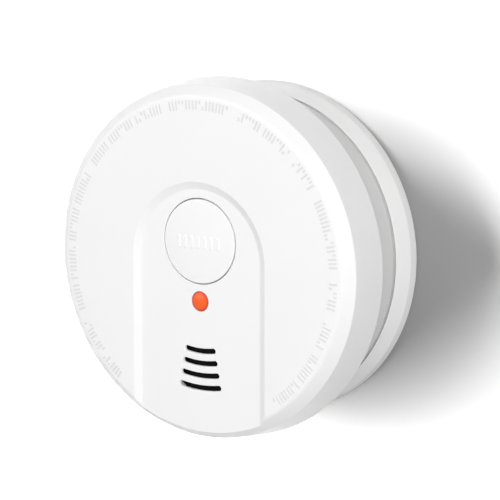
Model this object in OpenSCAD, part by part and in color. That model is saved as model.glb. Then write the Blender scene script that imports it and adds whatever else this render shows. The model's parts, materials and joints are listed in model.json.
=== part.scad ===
// Round wall or ceiling smoke alarm: a twist-on mounting base, and an alarm body that holds
// an optical smoke chamber, a piezo horn, a nine-volt battery and a test button.
// Every module is drawn with its Z axis out of the wall and Y up, and facing_room() turns
// it into the part's frame: the wall is the plane Y = 0 and the face looks along -Y.

/* [Cover] */
// Diameter of the cover at its rear edge, the widest place
cover_d = 120; // [114:0.5:130]
// Diameter of the cover where the bevel meets the side wall
cover_front_d = 116.2; // [110:0.2:126]
// Distance from the wall to the front face
total_depth = 44; // [43:0.5:52]
// Depth of the cover from its rear edge to the front face
cover_depth = 16.8; // [14:0.2:18]
// Width of the bevel round the front face
bevel_w = 3.5; // [1.5:0.1:5]
// Height of the bevel
bevel_h = 3.4; // [1.5:0.1:5]
// Wall thickness of the cover
cover_wall = 2.2; // [1.6:0.1:3]

/* [Front panel] */
// Width of the recessed panel's floor
panel_w = 47.2; // [42:0.2:50]
// Depth of the recess below the face
panel_depth = 1.4; // [0.6:0.1:2]
// How far the sloped wall of the recess runs outwards
panel_slope = 2.5; // [1:0.1:4]
// Height of the centre of the arch above the alarm's centre
panel_arch_y = 0.8; // [-4:0.1:4]
// Wall thickness behind the recess
panel_wall = 2; // [1.4:0.1:2.4]

/* [Sounder slots] */
// Number of curved slots
slot_count = 4; // [1:1:5]
// Width of one slot
slot_w = 1.8; // [0.8:0.1:2.2]
// Radius of the slot nearest the centre
slot_first_r = 29; // [26:0.2:32]
// Distance from one slot to the next
slot_pitch = 4.1; // [3:0.1:4.8]
// Half of the angle that each slot spans
slot_half_angle = 10; // [5:0.5:12]

/* [Test button] */
// Diameter of the button's face
button_d = 27.6; // [24:0.1:29]
// Gap all round between the button and its bore
button_gap = 0.4; // [0.3:0.05:0.6]
// Height of the button's centre above the alarm's centre
button_y = 7.3; // [5:0.1:8]
// How far the button's face stands proud of the panel
button_proud = 0.6; // [0:0.1:1]
// Travel of the button
button_travel = 1; // [0.6:0.1:1.2]

/* [Indicator] */
// Diameter of the lens
lens_d = 6.6; // [5:0.1:7.4]
// Distance of the lens below the alarm's centre
lens_drop = 12.5; // [11.6:0.1:13]
// How far the lens stands proud of the panel
lens_proud = 0.6; // [0.3:0.1:1.5]

/* [Mounting base] */
// Diameter at the wall
base_d = 113.4; // [110:0.2:118]
// Diameter at the shoulder between the two bands of the rim
base_shoulder_d = 112.4; // [109:0.2:116]
// Diameter at the front edge
base_front_d = 108.6; // [107:0.2:114]
// Distance from the wall to the shoulder
base_shoulder_z = 3.2; // [2:0.1:5]
// Depth of the base
base_h = 8.6; // [8.2:0.1:9.4]
// Thickness of the rim wall
base_wall = 2.4; // [1.6:0.1:2.6]
// Thickness of the floor
base_floor = 2.4; // [2:0.1:2.8]
// Depth of the relief in the rear face
base_relief = 0.8; // [0.3:0.1:1]
// Distance between the two wall screws
screw_spacing = 60; // [50:1:70]
// Distance of the screw slots below the alarm's centre
screw_drop = 10; // [8:0.5:14]
// Width of a screw slot
screw_slot_w = 4.4; // [3.5:0.1:5]
// Length of a screw slot from end to end
screw_slot_l = 10; // [7:0.5:14]

/* [Twist lock] */
// Number of tabs and hooks
lock_count = 3; // [3:1:4]
// Angle that a tab spans
tab_angle = 14; // [10:1:16]
// Angle that the alarm turns to free it
twist_angle = 18; // [17:1:20]
// Thickness of a tab
tab_t = 2; // [1.4:0.1:2.2]
// Clearance round a tab
tab_gap = 0.3; // [0.2:0.05:0.4]

/* [Rear housing] */
// Diameter of the neck between the base and the cover
neck_d = 106.6; // [104:0.2:107]
// Thickness of the neck's wall
neck_wall = 2; // [1.4:0.1:2.4]
// Gap between the base and the neck
seam_gap = 1; // [0.6:0.1:1.2]
// Distance from the wall to the smoke inlets
inlet_z = 20; // [18:0.5:22]
// Height of the smoke inlets
inlet_h = 9; // [7:0.5:9]
// Number of ribs between the smoke inlets
rib_count = 48; // [30:6:60]
// Thickness of the housing's floor
housing_floor = 2; // [1.6:0.1:2.2]
// Diameter of the collar that carries the tabs
collar_d = 87.2; // [86.8:0.1:87.6]

/* [Battery] */
// Length of the battery's case without its terminals
battery_l = 46.4; // [44:0.1:47]
// Width of the battery
battery_w = 26.5; // [25:0.1:27]
// Thickness of the battery
battery_t = 17.5; // [16.5:0.1:17.5]
// Height of the battery's centre above the alarm's centre
battery_y = 13; // [11:0.5:13]

/* [Circuit board] */
// Diameter of the circuit board
board_d = 95; // [92:0.5:97]
// Thickness of the circuit board
board_t = 1.6; // [1:0.1:1.6]

/* [Smoke chamber] */
// Diameter of the chamber
chamber_d = 34; // [31:0.5:34.5]
// Gap between the chamber's cap and the button's guide in front of it
chamber_room = 0.6; // [0.3:0.1:2]
// Number of places for a vane round the chamber
vane_count = 18; // [12:2:22]

/* [Horn] */
// Diameter of the horn
horn_d = 29; // [27:0.5:30]
// Height of the horn
horn_h = 11; // [10:0.2:12]
// Distance of the horn below the alarm's centre
horn_drop = 31; // [30.5:0.5:32]

/* [Hidden] */
$fn = 96;
slip = 0.3;             // gap between two moulded pieces that go together
cut = 1;                // how far a cutting shape runs past the face that it cuts
sink = 0.5;             // how far a shape runs into the one that it is moulded with

// Cover
cover_r = cover_d / 2;
front_r = cover_front_d / 2;
face_r = front_r - bevel_w;
face_z = total_depth;
bevel_z = face_z - bevel_h;
cover_rear_z = face_z - cover_depth;
ceiling_z = face_z - cover_wall;
inner_bevel_z = bevel_z - cover_wall / 3;
panel_z = face_z - panel_depth;
panel_back_z = panel_z - panel_wall;
panel_r = panel_w / 2;
panel_face_r = panel_r + panel_slope;
skirt_r = cover_r - cover_wall;

// Rear housing
housing_z = base_h + seam_gap;
floor_top_z = housing_z + housing_floor;
neck_r = neck_d / 2;
neck_in_r = neck_r - neck_wall;
rib_in_r = neck_r - 3;
rib_out_r = neck_r - 0.2;
rib_w = 1.2;
inlet_top_z = inlet_z + inlet_h;
crown_h = 1.5;
lug_count = 6;
lug_w = 5;
lug_gap = 2;                             // between a lug and the cover's rear edge
collar_r = collar_d / 2;
collar_wall = 1.6;
collar_z = base_floor + 0.8;
tab_r = collar_r + 4.2;
tab_z = collar_z;

// Hooks of the twist lock
stop_gap_angle = 0.4;
hook_z = tab_z + tab_t + tab_gap;
hook_t = 1.5;
hook_in_r = collar_r + 1.4;
hook_post_r = tab_r + tab_gap;
hook_out_r = base_front_d / 2 - base_wall;
stop_angle = 4;
lock_first_angle = 90;

// Battery bay
bay_wall = 1.4;
bay_ceiling = 1.2;
battery_gap = 0.4;
battery_z = base_floor + battery_gap;
battery_front_z = battery_z + battery_t;
terminal_l = 2.1;
terminal_r = 2.9;
contact_cup_r = 3.2;
contact_t = 0.5;
contact_cup_t = 1.2;
battery_x = -26.2;                       // closed end of the battery
terminal_x = battery_x + battery_l;
contact_x = terminal_x + terminal_l + contact_cup_t;
bay_x = battery_x - battery_gap;
bay_end_x = contact_x + contact_t + slip;
bay_low_y = battery_y - battery_w / 2 - battery_gap;
bay_high_y = battery_y + battery_w / 2 + battery_gap;
bay_ceiling_z = battery_front_z + slip;
bay_rear_z = battery_z + 1;
terminal_gap = 12.7;                     // between the two terminals
terminal_z = battery_z + battery_t / 2;

// Circuit board
board_z = bay_ceiling_z + bay_ceiling + 0.4;
board_top_z = board_z + board_t;
board_r = board_d / 2;
board_screw_r = board_r - 3.5;
board_screw_angles = [95, 215, 335];
board_screw_l = 7;
cover_post_r = neck_in_r - 5.1;
cover_screw_bite = 8;                    // length of a cover screw in its post
cover_post_angles = [60, 180, 300];
post_r = 2.8;
standoff_r = 3;
screw_r = 1.4;
screw_head_r = 2.3;
screw_head_h = 1.6;
pilot_clearance = 0.05;

// Button, its spring and the switch under it
button_r = button_d / 2;
bore_r = button_r + button_gap;
flange_r = bore_r + 1.1;
flange_t = 1.5;
flange_top_z = panel_back_z - 0.1;
flange_z = flange_top_z - flange_t;
button_face_z = panel_z + button_proud;
button_plate = 1.8;
button_skirt = 1.6;
guide_wall = 1.2;
guide_reach = 115;                       // the guide leaves its lower side open for the lens
guide_z = flange_z - button_travel - 0.6;
stem_r = 2.4;
spring_seat_r = 6;
switch_w = 6;
switch_h = 3.5;
switch_floor = 0.8;
plunger_r = 1.75;
plunger_fit = 0.05;
plunger_travel = 0.25;
plunger_rise = 2.5;
plunger_top_z = board_top_z + switch_h + plunger_rise;
stem_z = plunger_top_z + button_travel - plunger_travel + 0.1;
spring_r = 5;
wire_r = 0.35;
spring_turns = 5;
spring_z = board_top_z + 0.05;
spring_top_z = stem_z + 2.5;

// Indicator
lens_r = lens_d / 2;
lens_fit = 0.05;
lens_flange_r = lens_r + 0.4;
lens_flange_t = 1.2;
lens_rod_r = lens_r - 0.8;
led_r = 2.5;
led_h = 6.4;
led_top_z = board_top_z + led_h;

// Chamber
chamber_x = -22.5;
chamber_y = 18;
chamber_r = chamber_d / 2;
chamber_floor = 1.5;
chamber_lid = 1.3;
chamber_top_z = guide_z - chamber_room;
vane_z = board_top_z + chamber_floor;
vane_top_z = chamber_top_z - chamber_lid;
vane_l = 3.6;
vane_w = 0.9;
vane_turn = 40;
screen_t = 0.3;
optic_r = 2.5;
optic_l = 6.5;
optic_tip_r = 5.5;                       // distance of each optic's tip from the middle
optic_z = (vane_z + vane_top_z) / 2;
emitter_angle = 250;
diode_angle = 20;
optic_clear_angle = 24;

// Horn
horn_r = horn_d / 2;
horn_wall = 1.2;
horn_seat_h = 4.6;
disc_r = horn_r - 1;
disc_t = 0.3;
ceramic_r = disc_r * 0.66;
ceramic_t = 0.25;
horn_seat_z = board_top_z + horn_seat_h;
horn_top_z = board_top_z + horn_h;
horn_port_r = 3;
shroud_r = 13;
shroud_wall = 1.2;

// Small parts on the board: place, size and height, chosen by hand
chip_at = [26, 6];
chip_size = [8.7, 3.9, 1.6];
chip_pins = 7;
chip_pin_pitch = 1.27;
can_at = [[36, 4], [35, 14]];
can_r = [3.2, 2.5];
can_h = [9, 7.5];
coil_at = [22, 26];
coil_r = 4.5;
coil_h = 9;
chip_part_size = [2, 1.25, 0.6];
chip_part_pitch = [4, 3.2];
chip_part_cols = 5;
chip_part_rows = 3;
chip_part_at = [18, -16];

// ---- helpers ----

module facing_room() {
    rotate([90, 0, 0]) children();
}

module at_polar(radius, angle) {
    rotate([0, 0, angle]) translate([radius, 0, 0]) children();
}

module tube(r_out, r_in, z0, z1) {
    difference() {
        translate([0, 0, z0]) cylinder(r = r_out, h = z1 - z0);
        translate([0, 0, z0 - cut]) cylinder(r = r_in, h = z1 - z0 + 2 * cut);
    }
}

module disc(r, z0, z1) {
    translate([0, 0, z0]) cylinder(r = r, h = z1 - z0);
}

module sector(r_in, r_out, z0, z1, a0, a1) {
    rotate([0, 0, a0]) rotate_extrude(angle = a1 - a0)
        translate([r_in, z0]) square([r_out - r_in, z1 - z0]);
}

module block(x0, x1, y0, y1, z0, z1) {
    translate([x0, y0, z0]) cube([x1 - x0, y1 - y0, z1 - z0]);
}

// A pan-head screw: its head lies below z0 and its shank runs up from z0
module pan_screw(z0, length) {
    disc(screw_head_r, z0 - screw_head_h, z0);
    disc(screw_r, z0, z0 + length);
}

// Points of a wire coiled about Z, one ring of points for each step
function coil_points(radius, wire, z0, z1, turns, steps, sides) = [
    for (i = [0:steps]) for (j = [0:sides - 1])
        let (a = 360 * turns * i / steps, b = 360 * j / sides, r = radius + wire * cos(b))
        [r * cos(a), r * sin(a), z0 + (z1 - z0) * i / steps + wire * sin(b)]];

// Side faces of a tube of rings of points, and its two end caps
function tube_faces(steps, sides) = concat(
    [for (i = [0:steps - 1]) for (j = [0:sides - 1]) let (k = (j + 1) % sides)
        [i * sides + j, (i + 1) * sides + j, (i + 1) * sides + k, i * sides + k]],
    [[for (j = [0:sides - 1]) j]],
    [[for (j = [sides - 1:-1:0]) steps * sides + j]]);

// ---- the mounting base, which stays on the wall ----

module screw_slots(z0, z1, width, length) {
    reach = (length - width) / 2;
    for (side = [-1, 1]) translate([side * screw_spacing / 2, -screw_drop, 0]) {
        for (end = [-reach, reach]) translate([end, 0, 0]) disc(width / 2, z0, z1);
        block(-reach, reach, -width / 2, width / 2, z0, z1);
    }
}

module lock_hook() {
    low = -tab_angle / 2 - stop_gap_angle;
    high = tab_angle / 2;
    top = hook_z + hook_t;
    out = hook_out_r + base_wall / 4;
    difference() {
        sector(hook_in_r, out, base_floor - 0.2, top, low - stop_angle, high);
        sector(hook_in_r - cut, hook_post_r, base_floor - cut, hook_z, low, high + 1);
    }
}

module mounting_base() {
    pad_r = 12;
    land_w = 7;
    spoke_w = 5;
    color("white") facing_room() {
        difference() {
            rotate_extrude() polygon([
                [0, 0],
                [base_d / 2, 0],
                [base_shoulder_d / 2, base_shoulder_z],
                [base_front_d / 2, base_h],
                [base_front_d / 2 - base_wall, base_h],
                [base_front_d / 2 - base_wall, base_floor],
                [0, base_floor]]);
            difference() {
                tube(base_d / 2 - land_w, pad_r, -cut, base_relief);
                screw_slots(-2 * cut, 2 * base_relief, screw_slot_w + 6, screw_slot_l + 6);
                for (angle = [0:60:120]) rotate([0, 0, angle])
                    block(-base_d, base_d, -spoke_w / 2, spoke_w / 2, -2 * cut, 2 * base_relief);
            }
            screw_slots(-cut, base_floor + cut, screw_slot_w, screw_slot_l);
        }
        for (i = [0:lock_count - 1])
            rotate([0, 0, lock_first_angle + i * 360 / lock_count]) lock_hook();
    }
}

// ---- the rear housing ----

module battery_bay() {
    difference() {
        block(bay_x - bay_wall, bay_end_x + bay_wall, bay_low_y - bay_wall,
            bay_high_y + bay_wall, bay_rear_z, bay_ceiling_z + bay_ceiling);
        block(bay_x, bay_end_x, bay_low_y, bay_high_y, bay_rear_z - cut, bay_ceiling_z);
        block(contact_x - slip, bay_end_x, battery_y - terminal_gap, battery_y + terminal_gap,
            bay_ceiling_z - cut, board_z + cut);
    }
}

module rear_housing() {
    color("whitesmoke") facing_room() difference() {
        union() {
            difference() {
                union() {
                    disc(neck_r, housing_z, floor_top_z);
                    tube(neck_r, neck_in_r, housing_z, inlet_z);
                    tube(collar_r, collar_r - collar_wall, collar_z, housing_z + sink);
                }
                block(bay_x, bay_end_x, bay_low_y, bay_high_y, 0, floor_top_z + cut);
            }
            battery_bay();
            for (i = [0:lock_count - 1])
                rotate([0, 0, lock_first_angle + i * 360 / lock_count])
                    sector(collar_r - sink, tab_r, tab_z, tab_z + tab_t,
                        -tab_angle / 2, tab_angle / 2);
            for (angle = board_screw_angles) at_polar(board_screw_r, angle)
                disc(standoff_r, floor_top_z - sink, board_z);
        }
        for (angle = board_screw_angles) at_polar(board_screw_r, angle)
            disc(screw_r + pilot_clearance, floor_top_z, board_z + cut);
        for (angle = cover_post_angles) at_polar(cover_post_r, angle)
            disc(screw_r + pilot_clearance, housing_z - cut, floor_top_z + cut);
    }
}

// ---- the ribs between the smoke inlets, and the ring that they carry ----

module inlet_ribs() {
    color("whitesmoke") facing_room() for (i = [0:rib_count - 1])
        rotate([0, 0, (i + 0.5) * 360 / rib_count])
            block(rib_in_r, rib_out_r, -rib_w / 2, rib_w / 2, inlet_z, inlet_top_z);
}

module crown_ring() {
    color("whitesmoke") facing_room() {
        tube(neck_r, rib_in_r, inlet_top_z, inlet_top_z + crown_h);
        for (i = [0:lug_count - 1]) rotate([0, 0, (i + 0.5) * 360 / lug_count])
            block(neck_r - sink, skirt_r - lug_gap, -lug_w / 2, lug_w / 2, inlet_top_z,
                inlet_top_z + crown_h);
    }
}

// ---- the front cover ----

module cover_outside() {
    rotate_extrude() polygon([
        [0, cover_rear_z],
        [cover_r, cover_rear_z],
        [front_r, bevel_z],
        [face_r, face_z],
        [0, face_z]]);
}

module cover_inside() {
    rotate_extrude() polygon([
        [0, cover_rear_z - cut],
        [skirt_r + cut * (cover_r - front_r) / cover_depth, cover_rear_z - cut],
        [front_r - cover_wall, inner_bevel_z],
        [face_r - cover_wall / 3, ceiling_z],
        [0, ceiling_z]]);
}

// Outline of the panel, a round arch over a band that runs down to the rim
module panel_band(half_w, z0, z1) {
    translate([0, panel_arch_y, 0]) {
        disc(half_w, z0, z1);
        block(-half_w, half_w, -cover_r, 0, z0, z1);
    }
}

module panel_recess() {
    translate([0, panel_arch_y, panel_z]) {
        cylinder(r1 = panel_r, r2 = panel_face_r, h = panel_depth);
        rotate([90, 0, 0]) linear_extrude(cover_r) polygon([
            [-panel_r, 0],
            [panel_r, 0],
            [panel_face_r, panel_depth],
            [-panel_face_r, panel_depth]]);
    }
    panel_band(panel_face_r, face_z - 0.001, face_z + cut);
}

module sounder_slots() {
    for (i = [0:slot_count - 1]) {
        radius = slot_first_r + i * slot_pitch;
        sector(radius - slot_w / 2, radius + slot_w / 2, panel_back_z - cut, face_z,
            270 - slot_half_angle, 270 + slot_half_angle);
        for (side = [-1, 1]) at_polar(radius, 270 + side * slot_half_angle)
            disc(slot_w / 2, panel_back_z - cut, face_z);
    }
}

module front_cover() {
    color("white") facing_room() difference() {
        union() {
            difference() {
                cover_outside();
                cover_inside();
            }
            intersection() {
                cover_outside();
                panel_band(panel_face_r + sink, panel_back_z, face_z);
            }
            translate([0, button_y, 0])
                sector(flange_r + slip, flange_r + slip + guide_wall, guide_z,
                    panel_back_z + sink, 90 - guide_reach, 90 + guide_reach);
            translate([0, -horn_drop, 0])
                tube(shroud_r + shroud_wall, shroud_r, horn_top_z + slip, panel_back_z + sink);
            for (angle = cover_post_angles) at_polar(cover_post_r, angle)
                disc(post_r, floor_top_z, ceiling_z + sink);
        }
        panel_recess();
        sounder_slots();
        translate([0, button_y, 0]) disc(bore_r, panel_back_z - cut, face_z + cut);
        translate([0, -lens_drop, 0]) disc(lens_r + lens_fit, panel_back_z - cut, face_z + cut);
        for (angle = cover_post_angles) at_polar(cover_post_r, angle)
            disc(screw_r + pilot_clearance, floor_top_z - cut,
                floor_top_z + cover_screw_bite + cut);
    }
}

// ---- the test button, its spring and the switch ----

module test_button() {
    color("white") facing_room() translate([0, button_y, 0]) {
        disc(button_r, button_face_z - button_plate, button_face_z);
        tube(button_r, button_r - button_skirt, flange_z, button_face_z - button_plate + 0.2);
        tube(flange_r, button_r - 0.5, flange_z, flange_top_z);
        disc(spring_seat_r, spring_top_z + wire_r, button_face_z - button_plate + 0.2);
        disc(stem_r, stem_z, spring_top_z + 1);
    }
}

module button_spring() {
    steps = 24 * spring_turns;
    sides = 8;
    color("silver") facing_room() translate([0, button_y, 0]) polyhedron(
        coil_points(spring_r, wire_r, spring_z + wire_r, spring_top_z - 0.05, spring_turns,
            steps, sides),
        tube_faces(steps, sides));
}

module switch_body() {
    half = switch_w / 2;
    hole_z = board_top_z + switch_floor;
    color("dimgray") facing_room() translate([0, button_y, 0]) difference() {
        block(-half, half, -half, half, board_top_z, board_top_z + switch_h);
        disc(plunger_r + plunger_fit, hole_z, board_top_z + switch_h + cut);
    }
}

module switch_plunger() {
    foot_z = board_top_z + switch_floor + plunger_travel + 0.2;
    color("black") facing_room() translate([0, button_y, 0])
        disc(plunger_r, foot_z, plunger_top_z);
}

// ---- the indicator ----

module indicator_lens() {
    dome_h = lens_proud;
    color("orangered") facing_room() translate([0, -lens_drop, 0]) {
        disc(lens_rod_r, led_top_z + slip, panel_back_z - lens_flange_t + 0.2);
        disc(lens_flange_r, panel_back_z - lens_flange_t, panel_back_z);
        disc(lens_r, panel_back_z - 0.2, panel_z);
        translate([0, 0, panel_z - 0.01])
            cylinder(r1 = lens_r, r2 = lens_r - 0.6, h = dome_h * 0.6);
        translate([0, 0, panel_z + dome_h * 0.6 - 0.02])
            cylinder(r1 = lens_r - 0.6, r2 = lens_r - 1.8, h = dome_h * 0.4);
    }
}

module status_led() {
    color("red") facing_room() translate([0, -lens_drop, 0]) {
        disc(led_r + 0.4, board_top_z, board_top_z + 1);
        disc(led_r, board_top_z + 0.5, led_top_z - led_r);
        intersection() {
            translate([0, 0, led_top_z - led_r]) sphere(r = led_r);
            disc(led_r, led_top_z - led_r - 0.5, led_top_z);
        }
    }
}

// ---- the circuit board and what is on it ----

module circuit_board() {
    color("darkgreen") facing_room() difference() {
        disc(board_r, board_z, board_top_z);
        for (angle = cover_post_angles) at_polar(cover_post_r, angle)
            disc(post_r + slip, board_z - cut, board_top_z + cut);
        for (angle = board_screw_angles) at_polar(board_screw_r, angle)
            disc(screw_r + 0.2, board_z - cut, board_top_z + cut);
    }
}

module microcontroller() {
    color("black") facing_room() translate([chip_at[0], chip_at[1], 0]) {
        block(-chip_size[0] / 2, chip_size[0] / 2, -chip_size[1] / 2, chip_size[1] / 2,
            board_top_z + 0.1, board_top_z + chip_size[2]);
        for (i = [0:chip_pins - 1])
            translate([(i - (chip_pins - 1) / 2) * chip_pin_pitch, 0, 0])
                block(-0.2, 0.2, -3, 3, board_top_z, board_top_z + 0.25);
    }
}

module electrolytic_capacitors() {
    color("slategray") facing_room() for (i = [0:len(can_at) - 1])
        translate([can_at[i][0], can_at[i][1], 0])
            disc(can_r[i], board_top_z, board_top_z + can_h[i]);
}

module step_up_coil() {
    bobbin_t = 1;
    color("peru") facing_room() translate([coil_at[0], coil_at[1], 0]) {
        disc(coil_r, board_top_z, board_top_z + bobbin_t);
        disc(coil_r - 0.6, board_top_z + 0.5, board_top_z + coil_h - 0.5);
        disc(coil_r, board_top_z + coil_h - bobbin_t, board_top_z + coil_h);
    }
}

module chip_parts() {
    color("saddlebrown") facing_room()
        for (col = [0:chip_part_cols - 1]) for (row = [0:chip_part_rows - 1])
            translate([chip_part_at[0] + col * chip_part_pitch[0],
                    chip_part_at[1] + row * chip_part_pitch[1], board_top_z])
                cube(chip_part_size);
}

// ---- the optical smoke chamber ----

module in_chamber() {
    translate([chamber_x, chamber_y, 0]) children();
}

// How far angle a lies from angle b, the short way round
function angle_apart(a, b) = abs((a - b + 540) % 360 - 180);

function vane_is_free(angle) = angle_apart(angle, emitter_angle) > optic_clear_angle
    && angle_apart(angle, diode_angle) > optic_clear_angle;

module optic_cradle(angle) {
    cradle_w = optic_r * 2 + 1.6;
    rotate([0, 0, angle]) difference() {
        block(optic_tip_r + 1, optic_tip_r + optic_l, -cradle_w / 2, cradle_w / 2,
            vane_z - 0.2, optic_z);
        translate([optic_tip_r, 0, optic_z]) rotate([0, 90, 0])
            cylinder(r = optic_r + 0.05, h = optic_l + cut);
    }
}

module chamber_base() {
    vane_r = chamber_r - 2.6;
    color([0.12, 0.12, 0.13]) facing_room() in_chamber() {
        disc(chamber_r, board_top_z, vane_z);
        for (i = [0:vane_count - 1]) {
            angle = i * 360 / vane_count;
            if (vane_is_free(angle)) at_polar(vane_r, angle) rotate([0, 0, vane_turn])
                block(-vane_l / 2, vane_l / 2, -vane_w / 2, vane_w / 2, vane_z - 0.2,
                    vane_top_z);
        }
        for (angle = [emitter_angle, diode_angle]) optic_cradle(angle);
    }
}

module chamber_cap() {
    color([0.16, 0.16, 0.17]) facing_room() in_chamber() {
        disc(chamber_r, vane_top_z, chamber_top_z);
        tube(chamber_r + screen_t + 1, chamber_r + screen_t + 0.1, vane_top_z - 1,
            vane_top_z + 0.6);
        tube(chamber_r + screen_t + 1, chamber_r - 0.5, vane_top_z, chamber_top_z);
    }
}

module insect_screen() {
    bar_count = 24;
    window_w = 3.4;
    color("silver") facing_room() in_chamber() difference() {
        tube(chamber_r + screen_t, chamber_r + 0.02, vane_z - 0.5, vane_top_z - 0.05);
        for (i = [0:bar_count - 1]) rotate([0, 0, i * 360 / bar_count])
            block(chamber_r - 1, chamber_r + 1, -window_w / 2, window_w / 2, vane_z + 0.6,
                vane_top_z - 1.4);
    }
}

module optic(angle) {
    in_chamber() rotate([0, 0, angle]) translate([optic_tip_r, 0, optic_z])
        rotate([0, 90, 0]) {
            translate([0, 0, optic_r]) cylinder(r = optic_r, h = optic_l - optic_r - 1);
            intersection() {
                translate([0, 0, optic_r]) sphere(r = optic_r);
                cylinder(r = optic_r, h = optic_r + 0.2);
            }
        }
}

module infrared_emitter() {
    color("lightblue") facing_room() optic(emitter_angle);
}

module photodiode() {
    color([0.2, 0.2, 0.25]) facing_room() optic(diode_angle);
}

// ---- the piezo horn ----

module at_horn() {
    translate([0, -horn_drop, 0]) children();
}

module horn_housing() {
    ledge = 2.2;
    color("ivory") facing_room() at_horn() {
        tube(horn_r, horn_r - horn_wall, board_top_z, horn_seat_z);
        tube(horn_r - 0.5, horn_r - ledge, horn_seat_z - 1.2, horn_seat_z);
    }
}

module piezo_disc() {
    color("gold") facing_room() at_horn() disc(disc_r, horn_seat_z, horn_seat_z + disc_t);
}

module piezo_ceramic() {
    color("snow") facing_room() at_horn()
        disc(ceramic_r, horn_seat_z + disc_t, horn_seat_z + disc_t + ceramic_t);
}

module horn_cap() {
    rim_w = 1.5;
    seat = horn_seat_z + disc_t;
    color("ivory") facing_room() at_horn() {
        tube(horn_r, disc_r - rim_w, seat, seat + 1);
        tube(horn_r - 1, horn_r - 1 - horn_wall, seat + 0.5, horn_top_z);
        tube(horn_r - 1, horn_port_r, horn_top_z - horn_wall, horn_top_z);
    }
}

module horn_contacts() {
    pin_r = 0.4;
    color("silver") facing_room() at_horn() for (angle = [90:120:330])
        at_polar(ceramic_r * 0.7, angle) {
            disc(pin_r, board_top_z, horn_seat_z - 0.05);
            disc(pin_r * 2.5, board_top_z, board_top_z + 0.4);
        }
}

// ---- the battery ----

module battery_case() {
    corner = 2;
    color("dimgray") facing_room() translate([battery_x, battery_y, terminal_z])
        rotate([90, 0, 90]) linear_extrude(battery_l) {
            square([battery_w - 2 * corner, battery_t], center = true);
            square([battery_w, battery_t - 2 * corner], center = true);
            for (sx = [-1, 1]) for (sy = [-1, 1])
                translate([sx * (battery_w / 2 - corner), sy * (battery_t / 2 - corner)])
                    circle(r = corner);
        }
}

module at_terminals() {
    for (side = [-1, 1]) translate([terminal_x, battery_y + side * terminal_gap / 2, terminal_z])
        rotate([0, 90, 0]) children();
}

module battery_terminals() {
    color("silver") facing_room() at_terminals() cylinder(r = terminal_r, h = terminal_l);
}

module battery_contacts() {
    strip_w = 4;
    color("silver") facing_room() {
        at_terminals() translate([0, 0, terminal_l])
            cylinder(r = contact_cup_r, h = contact_cup_t + 0.1);
        for (side = [-1, 1]) {
            middle = battery_y + side * terminal_gap / 2;
            block(contact_x, contact_x + contact_t, middle - strip_w / 2, middle + strip_w / 2,
                terminal_z - contact_cup_r, board_z);
        }
    }
}

// ---- fasteners ----

module cover_screws() {
    color("silver") facing_room() for (angle = cover_post_angles) at_polar(cover_post_r, angle)
        pan_screw(housing_z, housing_floor + cover_screw_bite);
}

module board_screws() {
    color("silver") facing_room() for (angle = board_screw_angles)
        at_polar(board_screw_r, angle) mirror([0, 0, 1])
            pan_screw(-board_top_z, board_screw_l);
}

mounting_base();
rear_housing();
inlet_ribs();
crown_ring();
front_cover();
test_button();
button_spring();
switch_body();
switch_plunger();
indicator_lens();
status_led();
circuit_board();
chamber_base();
chamber_cap();
insect_screen();
infrared_emitter();
photodiode();
horn_housing();
horn_cap();
piezo_disc();
piezo_ceramic();
horn_contacts();
battery_case();
battery_terminals();
battery_contacts();
microcontroller();
electrolytic_capacitors();
step_up_coil();
chip_parts();
cover_screws();
board_screws();
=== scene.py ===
import json
import math

import bmesh
import bpy
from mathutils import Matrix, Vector


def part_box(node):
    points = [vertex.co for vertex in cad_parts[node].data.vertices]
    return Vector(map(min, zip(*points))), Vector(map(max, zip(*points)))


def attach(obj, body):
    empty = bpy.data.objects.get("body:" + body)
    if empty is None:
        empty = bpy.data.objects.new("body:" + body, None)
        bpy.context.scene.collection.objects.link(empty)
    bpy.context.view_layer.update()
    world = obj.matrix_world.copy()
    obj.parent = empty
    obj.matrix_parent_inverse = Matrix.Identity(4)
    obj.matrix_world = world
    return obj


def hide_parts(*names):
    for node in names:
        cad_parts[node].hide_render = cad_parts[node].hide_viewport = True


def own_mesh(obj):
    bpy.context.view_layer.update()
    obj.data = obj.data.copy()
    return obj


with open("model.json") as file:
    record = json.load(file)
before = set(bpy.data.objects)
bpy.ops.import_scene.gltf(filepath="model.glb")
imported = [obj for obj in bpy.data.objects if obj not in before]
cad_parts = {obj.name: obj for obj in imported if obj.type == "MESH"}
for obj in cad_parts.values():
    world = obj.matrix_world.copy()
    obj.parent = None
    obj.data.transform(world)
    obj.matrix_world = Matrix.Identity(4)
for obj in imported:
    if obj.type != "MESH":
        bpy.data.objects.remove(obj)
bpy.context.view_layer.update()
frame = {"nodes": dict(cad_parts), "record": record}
nodes = frame["nodes"]
print("loaded", len(nodes), "CAD nodes")

mm = 0.001
lift = 0.02 * mm  # how far a raised mark is sunk into what carries it


# Places are written as (across, up, out), where out is the distance from the wall
def placed(across, up, out):
    return Vector((across, -out, up))


# Corners are (a, b, radius); a corner with a radius becomes an arc
def roundedLine(corners, steps=6):
    points = []
    last = len(corners) - 1
    for index, (a, b, radius) in enumerate(corners):
        here = Vector((a, b))
        if radius == 0 or index in (0, last):
            points.append(here)
            continue
        back = (Vector(corners[index - 1][:2]) - here).normalized()
        ahead = (Vector(corners[index + 1][:2]) - here).normalized()
        half = back.angle(ahead) / 2
        centre = here + (back + ahead).normalized() * radius / math.sin(half)
        start = here + back * radius / math.tan(half) - centre
        end = here + ahead * radius / math.tan(half) - centre
        first = math.atan2(start.y, start.x)
        turn = (math.atan2(end.y, end.x) - first + math.pi) % (2 * math.pi) - math.pi
        for step in range(steps + 1):
            angle = first + turn * step / steps
            points.append(centre + radius * Vector((math.cos(angle), math.sin(angle))))
    return points


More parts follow.
